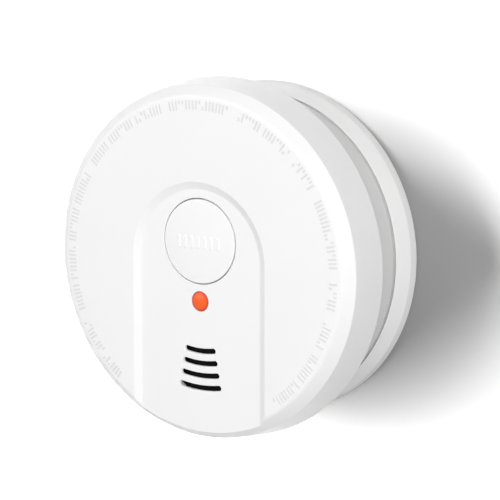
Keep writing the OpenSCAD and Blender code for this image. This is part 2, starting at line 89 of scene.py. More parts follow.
def newPiece(name, work):
    bmesh.ops.remove_doubles(work, verts=work.verts, dist=0.001 * mm)
    bmesh.ops.recalc_face_normals(work, faces=work.faces)
    mesh = bpy.data.meshes.new(name)
    work.to_mesh(mesh)
    work.free()
    piece = bpy.data.objects.new(name, mesh)
    bpy.context.scene.collection.objects.link(piece)
    return piece


# Joins rings of points, each with as many points, and closes both ends
def loft(name, rings, closed=False):
    work = bmesh.new()
    rows = [[work.verts.new(point) for point in ring] for ring in rings]
    count = len(rows[0])
    pairs = list(zip(rows, rows[1:]))
    if closed:
        pairs.append((rows[-1], rows[0]))
    for low, high in pairs:
        for i in range(count):
            j = (i + 1) % count
            work.faces.new((low[i], low[j], high[j], high[i]))
    if not closed:
        work.faces.new(rows[0])
        work.faces.new(rows[-1])
    return newPiece(name, work)


# Turns a profile of (radius, out) points about an axis that runs out of the wall. A profile
# that ends at the axis stops just short of it, and the loft's end faces close the gap.
def lathe(name, profile, centre=(0, 0), segments=192, closed=False):
    rings = []
    for radius, out in profile:
        ring = []
        for i in range(segments):
            angle = 2 * math.pi * i / segments
            ring.append(placed(centre[0] + radius * math.cos(angle),
                               centre[1] + radius * math.sin(angle), out))
        rings.append(ring)
    return loft(name, rings, closed)


def sector(name, inner, outer, low, high, start, end, steps=24):
    rings = []
    for i in range(steps + 1):
        angle = math.radians(start + (end - start) * i / steps)
        rings.append([placed(r * math.cos(angle), r * math.sin(angle), out)
                      for r, out in ((inner, low), (outer, low), (outer, high), (inner, high))])
    return loft(name, rings)


# Turns the result of a piece's modifiers into its plain mesh
def bakeModifiers(piece):
    graph = bpy.context.evaluated_depsgraph_get()
    baked = bpy.data.meshes.new_from_object(
        piece.evaluated_get(graph), preserve_all_data_layers=True, depsgraph=graph)
    old = piece.data
    piece.modifiers.clear()
    piece.data = baked
    baked.name = piece.name
    bpy.data.meshes.remove(old)


def combine(piece, others, operation):
    for other in others:
        modifier = piece.modifiers.new(operation, "BOOLEAN")
        modifier.operation = operation
        modifier.solver = "EXACT"
        modifier.object = other
        bakeModifiers(piece)
        bpy.data.objects.remove(other)
    return piece


# Smooth shading with crisp edges past an angle, and flat faces kept flat
def softShade(piece, sharpAngle=32):
    work = bmesh.new()
    work.from_mesh(piece.data)
    bmesh.ops.remove_doubles(work, verts=work.verts, dist=0.002 * mm)
    bmesh.ops.dissolve_degenerate(work, edges=work.edges, dist=0.001 * mm)
    for face in work.faces:
        face.smooth = True
    for edge in work.edges:
        edge.smooth = len(edge.link_faces) == 2 and \
            edge.calc_face_angle(0) < math.radians(sharpAngle)
    work.to_mesh(piece.data)
    work.free()
    modifier = piece.modifiers.new("weighted", "WEIGHTED_NORMAL")
    modifier.mode = "FACE_AREA"
    modifier.keep_sharp = True
    bakeModifiers(piece)
    return piece


class Wire:  # a socket that takes part in Python expressions
    def __init__(self, graph, socket):
        self.graph = graph
        self.socket = socket

    def maths(self, operation, *values):
        return self.graph.node("ShaderNodeMath", {"operation": operation}, dict(enumerate(values)))

    def __add__(self, other):
        return self.maths("ADD", self, other)

    def __sub__(self, other):
        return self.maths("SUBTRACT", self, other)

    def __mul__(self, other):
        return self.maths("MULTIPLY", self, other)

    def __truediv__(self, other):
        return self.maths("DIVIDE", self, other)

    def __lt__(self, other):
        return self.maths("LESS_THAN", self, other)

    def __rsub__(self, other):
        return self.maths("SUBTRACT", other, self)

    __radd__ = __add__
    __rmul__ = __mul__


class Graph:
    def __init__(self, tree):
        self.tree = tree

    # Adds a node: its settings come first, then its inputs; gives back one of its outputs
    def node(self, kind, settings=None, inputs=None, output=0):
        made = self.tree.nodes.new(kind)
        for name, value in (settings or {}).items():
            setattr(made, name, value)
        for key, value in (inputs or {}).items():
            for item in value if isinstance(value, list) else [value]:
                if isinstance(item, Wire):
                    self.tree.links.new(item.socket, made.inputs[key])
                else:
                    made.inputs[key].default_value = item
        return Wire(self, made.outputs[output]) if made.outputs else None


class Shader(Graph):
    def __init__(self, name):
        self.material = bpy.data.materials.new(name)
        self.material.use_nodes = True
        super().__init__(self.material.node_tree)
        self.tree.nodes.clear()
        self.place = self.node("ShaderNodeTexCoord", output="Object")

    def noise(self, size, detail=3, at=None):
        return self.node("ShaderNodeTexNoise", None, {
            "Vector": at or self.place, "Scale": 1 / size, "Detail": detail})

    def mixed(self, factor, first, second):
        return self.node("ShaderNodeMix", {"data_type": "RGBA"}, {
            0: factor, 6: first, 7: second}, output=2)

    def bump(self, height, strength, distance, under=None):
        inputs = {"Height": height, "Strength": strength, "Distance": distance}
        if under:
            inputs["Normal"] = under
        return self.node("ShaderNodeBump", None, inputs)

    def finish(self, inputs):
        surface = self.node("ShaderNodeBsdfPrincipled", None, inputs)
        self.node("ShaderNodeOutputMaterial", None, {"Surface": surface})
        return self.material


class Growth(Graph):  # a Geometry Nodes tree with named inputs
    def __init__(self, name, inputs):
        super().__init__(bpy.data.node_groups.new(name, "GeometryNodeTree"))
        face = self.tree.interface
        self.sockets = {}
        for label, (kind, value) in inputs.items():
            socket = face.new_socket(label, in_out="INPUT", socket_type="NodeSocket" + kind)
            if value is not None:
                socket.default_value = value
            self.sockets[label] = socket
        face.new_socket("Geometry", in_out="OUTPUT", socket_type="NodeSocketGeometry")
        self.entry = self.tree.nodes.new("NodeGroupInput")

    def given(self, label):
        return Wire(self, self.entry.outputs[label])

    # Realises the instances, gives them the material and ends the tree
    def finish(self, instances):
        solid = self.node("GeometryNodeRealizeInstances", None, {0: instances})
        dressed = self.node("GeometryNodeSetMaterial", None, {
            "Geometry": solid, "Material": self.given("Material")})
        self.node("NodeGroupOutput", None, {0: dressed})

    def grow(self, name, values):
        piece = bpy.data.objects.new(name, bpy.data.meshes.new(name))
        bpy.context.scene.collection.objects.link(piece)
        modifier = piece.modifiers.new(name, "NODES")
        modifier.node_group = self.tree
        for label, value in values.items():
            modifier[self.sockets[label].identifier] = value
        bakeModifiers(piece)
        return piece


barInputs = {
    "Count": ("Int", 8), "Width": ("Float", 1.0), "Length": ("Float", 1.0),
    "Height": ("Float", 1.0), "Corner": ("Float", 0.1), "Top": ("Float", 1.0),
    "Out": ("Float", 0.0), "Facing": ("Float", math.pi / 2), "Material": ("Material", None)}


# One upright bar with rounded corners, closed all round
def barShape(tree):
    outline = tree.node("GeometryNodeCurvePrimitiveQuadrilateral", None, {
        "Width": tree.given("Width"), "Height": tree.given("Length")})
    eased = tree.node("GeometryNodeFilletCurve", {"mode": "POLY"}, {
        "Curve": outline, "Count": 4, "Radius": tree.given("Corner")})
    foot = tree.node("GeometryNodeFillCurve", {"mode": "NGONS"}, {"Curve": eased})
    raised = tree.node("GeometryNodeExtrudeMesh", None, {
        "Mesh": foot, "Offset": (0.0, 0.0, 1.0), "Offset Scale": tree.given("Height"),
        "Individual": False})
    top = Wire(tree, raised.socket.node.outputs["Top"])
    tapered = tree.node("GeometryNodeScaleElements", {"domain": "FACE"}, {
        "Geometry": raised, "Selection": top, "Scale": tree.given("Top")})
    under = tree.node("GeometryNodeFlipFaces", None, {"Mesh": foot})
    both = tree.node("GeometryNodeJoinGeometry", None, {0: [tapered, under]})
    return tree.node("GeometryNodeMergeByDistance", None, {
        "Geometry": both, "Distance": 0.0005 * mm})


# Bars in a ring about the alarm's axis. They come in words: each word shows a random share
# of its places, and some bars are short and stand at one end of their place.
def barRing():
    tree = Growth("barRing", {
        **barInputs, "Radius": ("Float", 1.0), "Start": ("Float", 0.0),
        "Sweep": ("Float", 1.0), "Word": ("Float", 1.0), "Least shown": ("Float", 1.0),
        "Most shown": ("Float", 1.0), "Short share": ("Float", 0.0),
        "Short length": ("Float", 0.5), "Seed": ("Int", 1)})
    count, radius = tree.given("Count"), tree.given("Radius")
    line = tree.node("GeometryNodeMeshLine", None, {"Count": count, "Offset": (0.0, 0.0, 0.0)})
    index = tree.node("GeometryNodeInputIndex")
    angle = tree.given("Start") + tree.given("Sweep") * index / (count - 1)
    turns = index / tree.given("Word")
    word = turns.maths("FLOOR", turns)
    shown = tree.node("FunctionNodeRandomValue", {"data_type": "FLOAT"}, {
        2: tree.given("Least shown"), 3: tree.given("Most shown"), "ID": word,
        "Seed": tree.given("Seed")}, output=1)
    pick = tree.node("FunctionNodeRandomValue", {"data_type": "FLOAT"}, {
        "ID": index, "Seed": tree.given("Seed") + 1}, output=1)
    side = tree.node("FunctionNodeRandomValue", {"data_type": "FLOAT"}, {
        "ID": index, "Seed": tree.given("Seed") + 2}, output=1)
    isShort = pick < tree.given("Short share")
    stretch = 1 - isShort * (1 - tree.given("Short length"))
    shift = (side < 0.5) * 2 - 1
    reach = radius + shift * (1 - stretch) * tree.given("Length") / 2
    spot = tree.node("ShaderNodeCombineXYZ", None, {
        "X": reach * angle.maths("COSINE", angle), "Y": 0 - tree.given("Out"),
        "Z": reach * angle.maths("SINE", angle)})
    points = tree.node("GeometryNodeSetPosition", None, {"Geometry": line, "Position": spot})
    turned = tree.node("ShaderNodeCombineXYZ", None, {
        "X": tree.given("Facing"), "Y": math.pi / 2 - angle})
    size = tree.node("ShaderNodeCombineXYZ", None, {"X": 1.0, "Y": stretch, "Z": 1.0})
    tree.finish(tree.node("GeometryNodeInstanceOnPoints", None, {
        "Points": points, "Selection": turns - word < shown, "Instance": barShape(tree),
        "Rotation": turned, "Scale": size}))
    return tree


# A row of bars side by side, which rises along a shallow dome
def barRow():
    tree = Growth("barRow", {
        **barInputs, "Across": ("Float", 0.0), "Up": ("Float", 0.0), "Pitch": ("Float", 1.0),
        "Dome radius": ("Float", 1.0)})
    count = tree.given("Count")
    line = tree.node("GeometryNodeMeshLine", None, {"Count": count, "Offset": (0.0, 0.0, 0.0)})
    index = tree.node("GeometryNodeInputIndex")
    aside = (index - (count - 1) / 2) * tree.given("Pitch")
    drop = aside * aside / tree.given("Dome radius") / 2
    spot = tree.node("ShaderNodeCombineXYZ", None, {
        "X": aside + tree.given("Across"), "Y": drop - tree.given("Out"),
        "Z": tree.given("Up")})
    points = tree.node("GeometryNodeSetPosition", None, {"Geometry": line, "Position": spot})
    turned = tree.node("ShaderNodeCombineXYZ", None, {"X": tree.given("Facing")})
    tree.finish(tree.node("GeometryNodeInstanceOnPoints", None, {
        "Points": points, "Instance": barShape(tree), "Rotation": turned}))
    return tree


whiteLook = {
    "cover": {"shade": 0.875, "warmth": 0.0, "roughness": 0.38, "grain": 0.35 * mm},
    "base": {"shade": 0.91, "warmth": 0.004, "roughness": 0.45, "grain": 0.4 * mm},
    "button": {"shade": 0.885, "warmth": 0.0, "roughness": 0.34, "grain": 0.3 * mm},
    # The marks' darker shade is painted shade for the low embossed rim text, which is real relief
    # in the cover's own white
    "marks": {"shade": 0.74, "warmth": 0.0, "roughness": 0.5, "grain": 0.3 * mm},
    "housing": {"shade": 0.85, "warmth": 0.004, "roughness": 0.5, "grain": 0.5 * mm}}


# Fine spark-eroded ABS: a faint mottle, a fine grain, and slightly polished high spots
def whitePlastic(name, look):
    shader = Shader(name)
    light = look["shade"]
    warmth = look["warmth"]
    cloud = shader.noise(14 * mm, 4)
    flow = shader.noise(45 * mm, 2)
    fine = shader.noise(look["grain"], 2)
    pits = shader.node("ShaderNodeTexVoronoi", {"feature": "SMOOTH_F1"}, {
        "Vector": shader.place, "Scale": 1 / (1.6 * look["grain"])})
    colour = shader.mixed(cloud * 0.6 + flow * 0.4, (light - 0.012, light - 0.012,
                          light - 0.012 - warmth, 1), (light + 0.01, light + 0.01,
                          light + 0.01 - warmth, 1))
    texture = shader.bump(pits, 0.12, 0.02 * mm)
    texture = shader.bump(fine, 0.1, 0.02 * mm, texture)
    texture = shader.bump(flow, 0.2, 0.05 * mm, texture)
    return shader.finish({
        "Base Color": colour, "Roughness": look["roughness"] + (cloud - 0.5) * 0.16
        + (fine - 0.5) * 0.08, "Normal": texture, "IOR": 1.46})


# The edge colour is painted shade for the lens's rim, laid on between the two rim radii
lensLook = {
    "bright": (0.94, 0.115, 0.012, 1), "edge": (0.62, 0.05, 0.02, 1), "roughness": 0.2,
    "rimShadeFrom": 2.1 * mm, "rimShadeTo": 3.3 * mm}


# Clear orange-red moulding, with painted shade that darkens it towards its rim
def lensPlastic():
    shader = Shader("redLens")
    low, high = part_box("indicator_lens")
    middle = (low + high) / 2
    place = shader.node("ShaderNodeMapping", None, {
        "Vector": shader.place, "Location": (-middle.x, 0.0, -middle.z),
        "Scale": (1.0, 0.0, 1.0)})
    away = shader.node("ShaderNodeVectorMath", {"operation": "LENGTH"}, {0: place}, output=1)
    # Painted shade: the colour goes over to the darker edge tone towards the rim
    rim = shader.node("ShaderNodeMapRange", {"interpolation_type": "SMOOTHSTEP"}, {
        "Value": away, "From Min": lensLook["rimShadeFrom"], "From Max": lensLook["rimShadeTo"]})
    haze = shader.noise(1.1 * mm, 3)
    colour = shader.mixed(rim * (0.85 + haze * 0.3), lensLook["bright"], lensLook["edge"])
    waves = shader.bump(haze, 0.15, 0.04 * mm)
    return shader.finish({
        "Base Color": colour, "Roughness": lensLook["roughness"] + haze * 0.08,
        "Normal": waves, "IOR": 1.49, "Specular IOR Level": 0.35})


# A dull or glossy moulding in one colour, for what lies inside
def plainPlastic(name, dark, light, roughness, grain, shine=0.5):
    shader = Shader(name)
    cloud = shader.noise(8 * mm, 4)
    fine = shader.noise(grain, 3)
    return shader.finish({
        "Base Color": shader.mixed(cloud, (*dark, 1), (*light, 1)),
        "Roughness": roughness + (fine - 0.5) * 0.2, "Specular IOR Level": shine,
        "Normal": shader.bump(fine, 0.2, 0.03 * mm)})


# Solder resist over copper tracks that run in rounded steps
def boardLaminate():
    shader = Shader("boardLaminate")
    bend = shader.noise(9 * mm, 0)
    cells = shader.node("ShaderNodeTexVoronoi", {"feature": "DISTANCE_TO_EDGE"}, {
        "Vector": shader.place, "Scale": 1 / (5 * mm)})
    waves = shader.node("ShaderNodeTexWave", {"bands_direction": "X"}, {
        "Vector": shader.place, "Scale": 1 / (11 * mm), "Distortion": 5.0, "Detail": 0.0})
    track = shader.node("ShaderNodeMapRange", {"interpolation_type": "SMOOTHSTEP"}, {
        "Value": waves * 0.7 + cells * 0.9, "From Min": 0.5, "From Max": 0.56})
    weave = shader.noise(0.6 * mm, 2)
    colour = shader.mixed(track, (0.012, 0.12, 0.045, 1), (0.03, 0.21, 0.08, 1))
    return shader.finish({
        "Base Color": shader.mixed(bend * 0.25, colour, (0.05, 0.25, 0.1, 1)),
        "Roughness": 0.3 + weave * 0.15,
        "Normal": shader.bump(track + weave * 0.2, 0.4, 0.04 * mm)})


# Plated, rolled or drawn metal with fine lines along one axis
def workedMetal(name, tone, roughness, lines):
    shader = Shader(name)
    drawn = shader.node("ShaderNodeMapping", None, {"Vector": shader.place, "Scale": lines})
    streak = shader.noise(1.2 * mm, 4, drawn)
    spots = shader.noise(3 * mm, 3)
    darker = tuple(0.8 * part for part in tone)
    return shader.finish({
        "Base Color": shader.mixed(spots, (*darker, 1), (*tone, 1)), "Metallic": 1.0,
        "Roughness": roughness + streak * 0.18,
        "Normal": shader.bump(streak, 0.15, 0.02 * mm)})


# Enamelled wire wound in close turns round a bobbin that stands out from the board
def copperWinding():
    shader = Shader("coilCopper")
    pitch = 0.4 * mm
    bandStep = 0.3  # how far apart a wave texture's bands are at a scale of 1
    turns = shader.node("ShaderNodeTexWave", {"bands_direction": "Y"}, {
        "Vector": shader.place, "Scale": bandStep / pitch, "Distortion": 0.4})
    tint = shader.noise(2 * mm, 2)
    return shader.finish({
        "Base Color": shader.mixed(tint * 0.6 + turns * 0.4, (0.22, 0.07, 0.02, 1),
                                   (0.62, 0.27, 0.1, 1)),
        "Roughness": 0.25 + tint * 0.15, "Normal": shader.bump(turns, 0.6, 0.1 * mm)})


slotFinish = {
    "white_plastic": whitePlastic("housingPlastic", whiteLook["housing"]),
    "black_plastic": plainPlastic("blackPlastic", (0.018, 0.018, 0.02), (0.035, 0.035, 0.038),
                                  0.55, 0.3 * mm),
    "red_lens": lensPlastic(),
    "board_laminate": boardLaminate(),
    "clear_optic": plainPlastic("clearEpoxy", (0.5, 0.6, 0.7), (0.68, 0.76, 0.83), 0.12,
                                0.8 * mm),
    "dark_optic": plainPlastic("darkEpoxy", (0.02, 0.02, 0.05), (0.05, 0.04, 0.09), 0.14,
                               0.8 * mm),
    "horn_plastic": plainPlastic("hornPlastic", (0.07, 0.07, 0.072), (0.11, 0.11, 0.115), 0.5,
                                 0.4 * mm),
    "spring_steel": workedMetal("platedSteel", (0.64, 0.64, 0.65), 0.22, (1.0, 0.1, 1.0)),
    "disc_brass": workedMetal("rolledBrass", (0.8, 0.61, 0.28), 0.26, (0.08, 1.0, 1.0)),
    "disc_ceramic": plainPlastic("silveredCeramic", (0.74, 0.72, 0.66), (0.86, 0.84, 0.79),
                                 0.4, 0.25 * mm),
    "battery_sleeve": workedMetal("batterySleeve", (0.13, 0.14, 0.15), 0.3, (0.1, 1.0, 1.0)),
    "can_aluminium": workedMetal("drawnAluminium", (0.62, 0.63, 0.65), 0.28, (1.0, 0.1, 1.0)),
    "coil_copper": copperWinding(),
    "chip_ceramic": plainPlastic("chipCeramic", (0.22, 0.14, 0.09), (0.38, 0.27, 0.18), 0.5,
                                 0.2 * mm)}

for part in frame["record"]["subparts"]:
    node = nodes[part["node"]]
    if not node.material_slots:
        node.data.materials.append(None)
    for holder in node.material_slots:
        holder.material = slotFinish[part["material_slot"]]
coverPlastic = whitePlastic("coverPlastic", whiteLook["cover"])
basePlastic = whitePlastic("basePlastic", whiteLook["base"])
buttonPlastic = whitePlastic("buttonPlastic", whiteLook["button"])
markPlastic = whitePlastic("markPlastic", whiteLook["marks"])
print("finishes made:", len(slotFinish) + 4)


def dress(piece, finish, body, slot, *replaced):
    piece.data.materials.clear()
    piece.data.materials.append(finish)
    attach(piece, body)
    if replaced:
        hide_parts(*replaced)
    return piece


coverLow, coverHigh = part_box("front_cover")
buttonLow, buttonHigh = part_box("test_button")
lensLow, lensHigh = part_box("indicator_lens")
markHeight = 0.12 * mm  # the marks reach the CAD face, and the cover's own face lies under them
faceOut = -coverLow.y - markHeight
cover = {
    "rearRadius": coverHigh.x, "rearOut": faceOut - 16.68 * mm, "frontRadius": 58.1 * mm,
    "bevelWidth": 3.5 * mm, "bevelDepth": 3.28 * mm, "wall": 2.08 * mm,
    "rearRound": 0.4 * mm, "bevelRound": 0.9 * mm, "faceRound": 2.2 * mm}
panel = {
    "halfWidth": 23.6 * mm, "depth": 1.28 * mm, "slope": 2.5 * mm, "archUp": 0.8 * mm,
    "backing": 2 * mm, "floorRound": 1.6 * mm, "faceRound": 1.3 * mm, "reach": 70 * mm}
slots = {
    "count": 4, "firstRadius": 29 * mm, "pitch": 4.1 * mm, "width": 1.8 * mm,
    "halfAngle": 10.3, "lip": 0.25 * mm, "skin": 1 * mm, "flare": 0.7 * mm}
bore = {
    "up": (buttonLow.z + buttonHigh.z) / 2, "radius": 14.2 * mm, "lip": 0.2 * mm,
    "lensUp": (lensLow.z + lensHigh.z) / 2, "lensRadius": 3.35 * mm, "lensLip": 0.2 * mm}
panelOut = faceOut - panel["depth"]
ceilingOut = faceOut - cover["wall"]
past = 1 * mm  # how far a cutting shape runs past what it cuts


def coverShell():
    faceRadius = cover["frontRadius"] - cover["bevelWidth"]
    bevelOut = faceOut - cover["bevelDepth"]
    wall = cover["wall"]
    profile = roundedLine([
        (0.1 * mm, faceOut, 0),
        (faceRadius, faceOut, cover["faceRound"]),
        (cover["frontRadius"], bevelOut, cover["bevelRound"]),
        (cover["rearRadius"], cover["rearOut"], cover["rearRound"]),
        (cover["rearRadius"] - wall, cover["rearOut"], cover["rearRound"]),
        (cover["frontRadius"] - wall, bevelOut - wall / 3, past),
        (faceRadius - wall / 3, ceilingOut, past),
        (0.1 * mm, ceilingOut, 0)])
    return lathe("frontCover", profile, segments=288)


# The arch over a band that runs down past the rim, widened all round by grow
def panelOutline(grow, out):
    width = panel["halfWidth"] + grow
    steps = 96
    points = []
    for i in range(steps + 1):
        angle = math.pi * i / steps
        points.append(placed(width * math.cos(angle), panel["archUp"] + width * math.sin(angle),
                             out))
    low = -panel["reach"]
    return points + [placed(-width, low, out), placed(width, low, out)]


def panelCutter():
    slope = panel["slope"]
    outside = slope + 3 * mm
    levels = roundedLine([
        (-4 * mm, panelOut, 0),
        (0, panelOut, panel["floorRound"]),
        (slope, faceOut, panel["faceRound"]),
        (outside, faceOut + 0.2 * mm, 0)], steps=8)
    levels.append((outside, faceOut + past))
    return loft("panelCutter", [panelOutline(grow, out) for grow, out in levels])


# A slot follows an arc below the axis and has round ends; half is half its width
def slotOutline(radius, half, out):
    down = 1.5 * math.pi
    spread = math.radians(slots["halfAngle"])
    sideSteps, endSteps = 24, 12
    points = []
    for side in (1, -1):
        edge = radius + side * half
        for i in range(sideSteps + 1):
            angle = down + side * (2 * spread * i / sideSteps - spread)
            points.append(placed(edge * math.cos(angle), edge * math.sin(angle), out))
        about = down + side * spread
        first = about if side == 1 else about + math.pi
        for i in range(1, endSteps):
            turn = first + math.pi * i / endSteps
            points.append(placed(radius * math.cos(about) + half * math.cos(turn),
                                 radius * math.sin(about) + half * math.sin(turn), out))
    return points


# Steps of (widening, out) for a straight hole with a rounded lip at the panel's floor
def lipSteps(lip):
    steps = [(0, panelOut - panel["backing"] - past)]
    clear = 2.4 * mm
    flat = math.radians(72)  # the lip's arc stops short of level, and a cone goes on from it
    for i in range(6):
        angle = flat * i / 5
        steps.append((lip - lip * math.cos(angle), panelOut - lip + lip * math.sin(angle)))
    grow, out = steps[-1]
    cone = 0.3 * mm
    grow += cone * math.tan(flat)
    return steps + [(grow, out + cone), (grow, out + clear)]


def roundHole(name, up, radius, lip):
    steps = [(radius + grow, out) for grow, out in lipSteps(lip)]
    return lathe(name, steps, (0, up), segments=128)


def sounderSlots():
    cutters = []
    rear, *front = lipSteps(slots["lip"])
    skin, flare = panelOut - slots["skin"], slots["flare"]  # the slots widen behind a skin
    steps = [(flare, rear[1]), (flare, skin - 0.1 * mm), (0, skin), *front]
    for i in range(slots["count"]):
        radius = slots["firstRadius"] + i * slots["pitch"]
        cutters.append(loft("slotCutter", [
            slotOutline(radius, slots["width"] / 2 + grow, out) for grow, out in steps]))
    return cutters


posts = {
    "radius": 2.8 * mm, "bore": 1.45 * mm, "ring": 46.2 * mm, "rearOut": 11.6 * mm,
    "boreDepth": 9 * mm, "angles": (60, 180, 300)}
innerWalls = {
    "guideRadius": 15.6 * mm, "guideWall": 1.2 * mm, "guideOut": 37.4 * mm,
    "guideReach": 115, "hornUp": -31 * mm, "shroudRadius": 13 * mm, "shroudOut": 35.1 * mm,
    "shroudWall": 1.2 * mm, "backingRadius": 55 * mm, "backingWider": 0.5 * mm,
    "sunk": 0.4 * mm}


def innerSolids():
    join = ceilingOut + innerWalls["sunk"]
    backOut = panelOut - panel["backing"]
    grow = panel["slope"] + innerWalls["backingWider"]
    band = loft("backing", [panelOutline(grow, backOut), panelOutline(grow, join)])
    reach = innerWalls["backingRadius"]
    disc = lathe("backingDisc", [(0.1 * mm, backOut - past), (reach, backOut - past),
                                 (reach, join + past), (0.1 * mm, join + past)])
    solids = [combine(band, [disc], "INTERSECT")]
    guide = innerWalls["guideRadius"]
    sleeve = sector("sleeve", guide, guide + innerWalls["guideWall"], innerWalls["guideOut"],
                    join, 90 - innerWalls["guideReach"], 90 + innerWalls["guideReach"],
                    steps=64)
    for vertex in sleeve.data.vertices:
        vertex.co.z += bore["up"]
    solids.append(sleeve)
    inner = innerWalls["shroudRadius"]
    outer = inner + innerWalls["shroudWall"]
    low = innerWalls["shroudOut"]
    solids.append(lathe("shroud", [(inner, low), (outer, low), (outer, join), (inner, join)],
                        (0, innerWalls["hornUp"]), segments=96, closed=True))
    for angle in posts["angles"]:
        spot = (posts["ring"] * math.cos(math.radians(angle)),
                posts["ring"] * math.sin(math.radians(angle)))
        rear = posts["rearOut"]
        solids.append(lathe("post", [
            (posts["bore"], rear), (posts["radius"], rear), (posts["radius"], join),
            (0.05 * mm, join), (0.05 * mm, rear + posts["boreDepth"]),
            (posts["bore"], rear + posts["boreDepth"])], spot, segments=48, closed=True))
    return solids


frontCover = coverShell()
combine(frontCover, innerSolids(), "UNION")
holes = [roundHole("boreCutter", bore["up"], bore["radius"], bore["lip"]),
         roundHole("lensCutter", bore["lensUp"], bore["lensRadius"], bore["lensLip"])]
combine(frontCover, [panelCutter(), *holes, *sounderSlots()], "DIFFERENCE")
softShade(frontCover)
dress(frontCover, coverPlastic, "alarm", "white_plastic", "front_cover")
print("front cover made:", len(frontCover.data.polygons), "faces")


ring = barRing()
rimMarks = {
    "Count": 200, "Radius": 51.7 * mm, "Start": math.radians(-54),
    "Sweep": math.radians(290), "Width": 0.72 * mm, "Length": 3.2 * mm,
    "Height": markHeight + lift, "Corner": 0.25 * mm, "Top": 0.86, "Out": faceOut - lift,
    "Word": 10.0, "Least shown": 0.6, "Most shown": 0.92, "Short share": 0.3,
    "Short length": 0.42, "Seed": 7, "Material": markPlastic}
faceMarks = ring.grow("faceMarks", rimMarks)
dress(faceMarks, markPlastic, "alarm", "white_plastic")
print("rim marks made:", len(faceMarks.data.polygons), "faces")


button = {
    "radius": 13.8 * mm, "faceOut": -buttonLow.y, "rearOut": -buttonHigh.y,
    "flangeRadius": 15.3 * mm, "flangeOut": 39 * mm, "flangeThick": 1.5 * mm,
    "crown": 0.35 * mm, "edgeRound": 0.25 * mm, "skirt": 1.6 * mm, "plate": 1.8 * mm,
    "seatRadius": 6 * mm, "seatOut": 33.5 * mm, "stemRadius": 2.4 * mm}


def crownLine(radius, crown, out, steps=10):
    return [(radius * i / steps, out - crown * (i / steps) ** 2, 0) for i in range(steps + 1)]


def buttonCap():
    face = crownLine(button["radius"], button["crown"], button["faceOut"])
    face[0] = (0.05 * mm, button["faceOut"], 0)
    face[-1] = (*face[-1][:2], button["edgeRound"])
    flangeTop = button["flangeOut"] + button["flangeThick"]
    inner = button["radius"] - button["skirt"]
    plate = button["faceOut"] - button["plate"]
    profile = roundedLine([
        *face,
        (button["radius"], flangeTop, 0.2 * mm),
        (button["flangeRadius"], flangeTop, 0.2 * mm),
        (button["flangeRadius"], button["flangeOut"], 0.2 * mm),
        (inner, button["flangeOut"], 0.2 * mm),
        (inner, plate, 0.4 * mm),
        (button["seatRadius"], plate, 0.4 * mm),
        (button["seatRadius"], button["seatOut"], 0.2 * mm),
        (button["stemRadius"], button["seatOut"], 0.2 * mm),
        (button["stemRadius"], button["rearOut"], 0.3 * mm),
        (0.05 * mm, button["rearOut"], 0)])
    return lathe("buttonCap", profile, (0, bore["up"]), segments=160)


testButton = softShade(buttonCap())
dress(testButton, buttonPlastic, "button", "white_plastic", "test_button")
row = barRow()
gripBars = row.grow("buttonBars", {
    "Count": 7, "Width": 1.25 * mm, "Length": 4.4 * mm, "Height": 0.16 * mm + lift,
    "Corner": 0.45 * mm, "Top": 0.8, "Across": -0.3 * mm, "Up": bore["up"] - 0.3 * mm,
    "Pitch": 2.55 * mm, "Out": button["faceOut"] - lift,
    "Dome radius": button["radius"] ** 2 / button["crown"] / 2, "Material": buttonPlastic})
dress(gripBars, buttonPlastic, "button", "white_plastic")
print("test button made:", len(testButton.data.polygons), "faces")


lens = {
    "radius": 3.24 * mm, "topOut": -lensLow.y, "rearOut": -lensHigh.y, "dome": 0.75 * mm,
    "flangeRadius": 3.7 * mm, "flangeOut": 39.4 * mm, "flangeThick": 1.2 * mm,
    "rodRadius": 2.5 * mm}


def lensBody():
    face = crownLine(lens["radius"], lens["dome"], lens["topOut"])
    face[0] = (0.02 * mm, lens["topOut"], 0)
    face[-1] = (*face[-1][:2], 0.25 * mm)
    profile = roundedLine([
        *face,
        (lens["radius"], lens["flangeOut"] + lens["flangeThick"], 0.1 * mm),
        (lens["flangeRadius"], lens["flangeOut"] + lens["flangeThick"], 0.1 * mm),
        (lens["flangeRadius"], lens["flangeOut"], 0.1 * mm),
        (lens["rodRadius"], lens["flangeOut"], 0.2 * mm),
        (lens["rodRadius"], lens["rearOut"], 0.3 * mm),
        (0.02 * mm, lens["rearOut"], 0)])
    return lathe("lensBody", profile, (0, bore["lensUp"]), segments=96)


indicator = softShade(lensBody())
dress(indicator, slotFinish["red_lens"], "alarm", "red_lens", "indicator_lens")
print("indicator made:", len(indicator.data.polygons), "faces")


springLow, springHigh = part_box("button_spring")
spring = {"turns": 5, "wire": 0.35 * mm, "sides": 10, "steps": 24, "travel": 1 * mm}


# The return spring under the button
def springCoil():
    wire = spring["wire"]
    middle = (springLow + springHigh) / 2
    radius = (springHigh.x - springLow.x) / 2 - wire
    start, end = springHigh.y - wire, springLow.y + wire
    slope = (end - start) / (spring["turns"] * 2 * math.pi * radius)
    count = spring["turns"] * spring["steps"]
    rings = []
    turns = [2 * math.pi * side / spring["sides"] for side in range(spring["sides"])]
    for i in range(count + 1):
        angle = 2 * math.pi * i / spring["steps"]
        outward = Vector((math.cos(angle), 0, math.sin(angle)))
        along = Vector((-math.sin(angle), slope, math.cos(angle))).normalized()
        across = outward.cross(along)
        centre = Vector((middle.x, start + (end - start) * i / count, middle.z))
        centre += outward * radius
        rings.append([centre + (outward * math.cos(turn) + across * math.sin(turn)) * wire
                      for turn in turns])
    return loft("springCoil", rings)


returnSpring = softShade(springCoil(), sharpAngle=60)
dress(returnSpring, slotFinish["spring_steel"], "alarm", "spring_steel", "button_spring")
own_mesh(returnSpring)
print("return spring made:", len(returnSpring.data.polygons), "faces")


# A near-black gauze behind the slots and inside the shroud, in front of the horn: its colour is
# painted shade that makes the slots dark inside
gauze = {
    "radius": 12.5 * mm, "rimRadius": 12.9 * mm, "thick": 0.3 * mm, "crown": 0.15 * mm,
    "below": 0.6 * mm, "rimGap": 0.03 * mm}


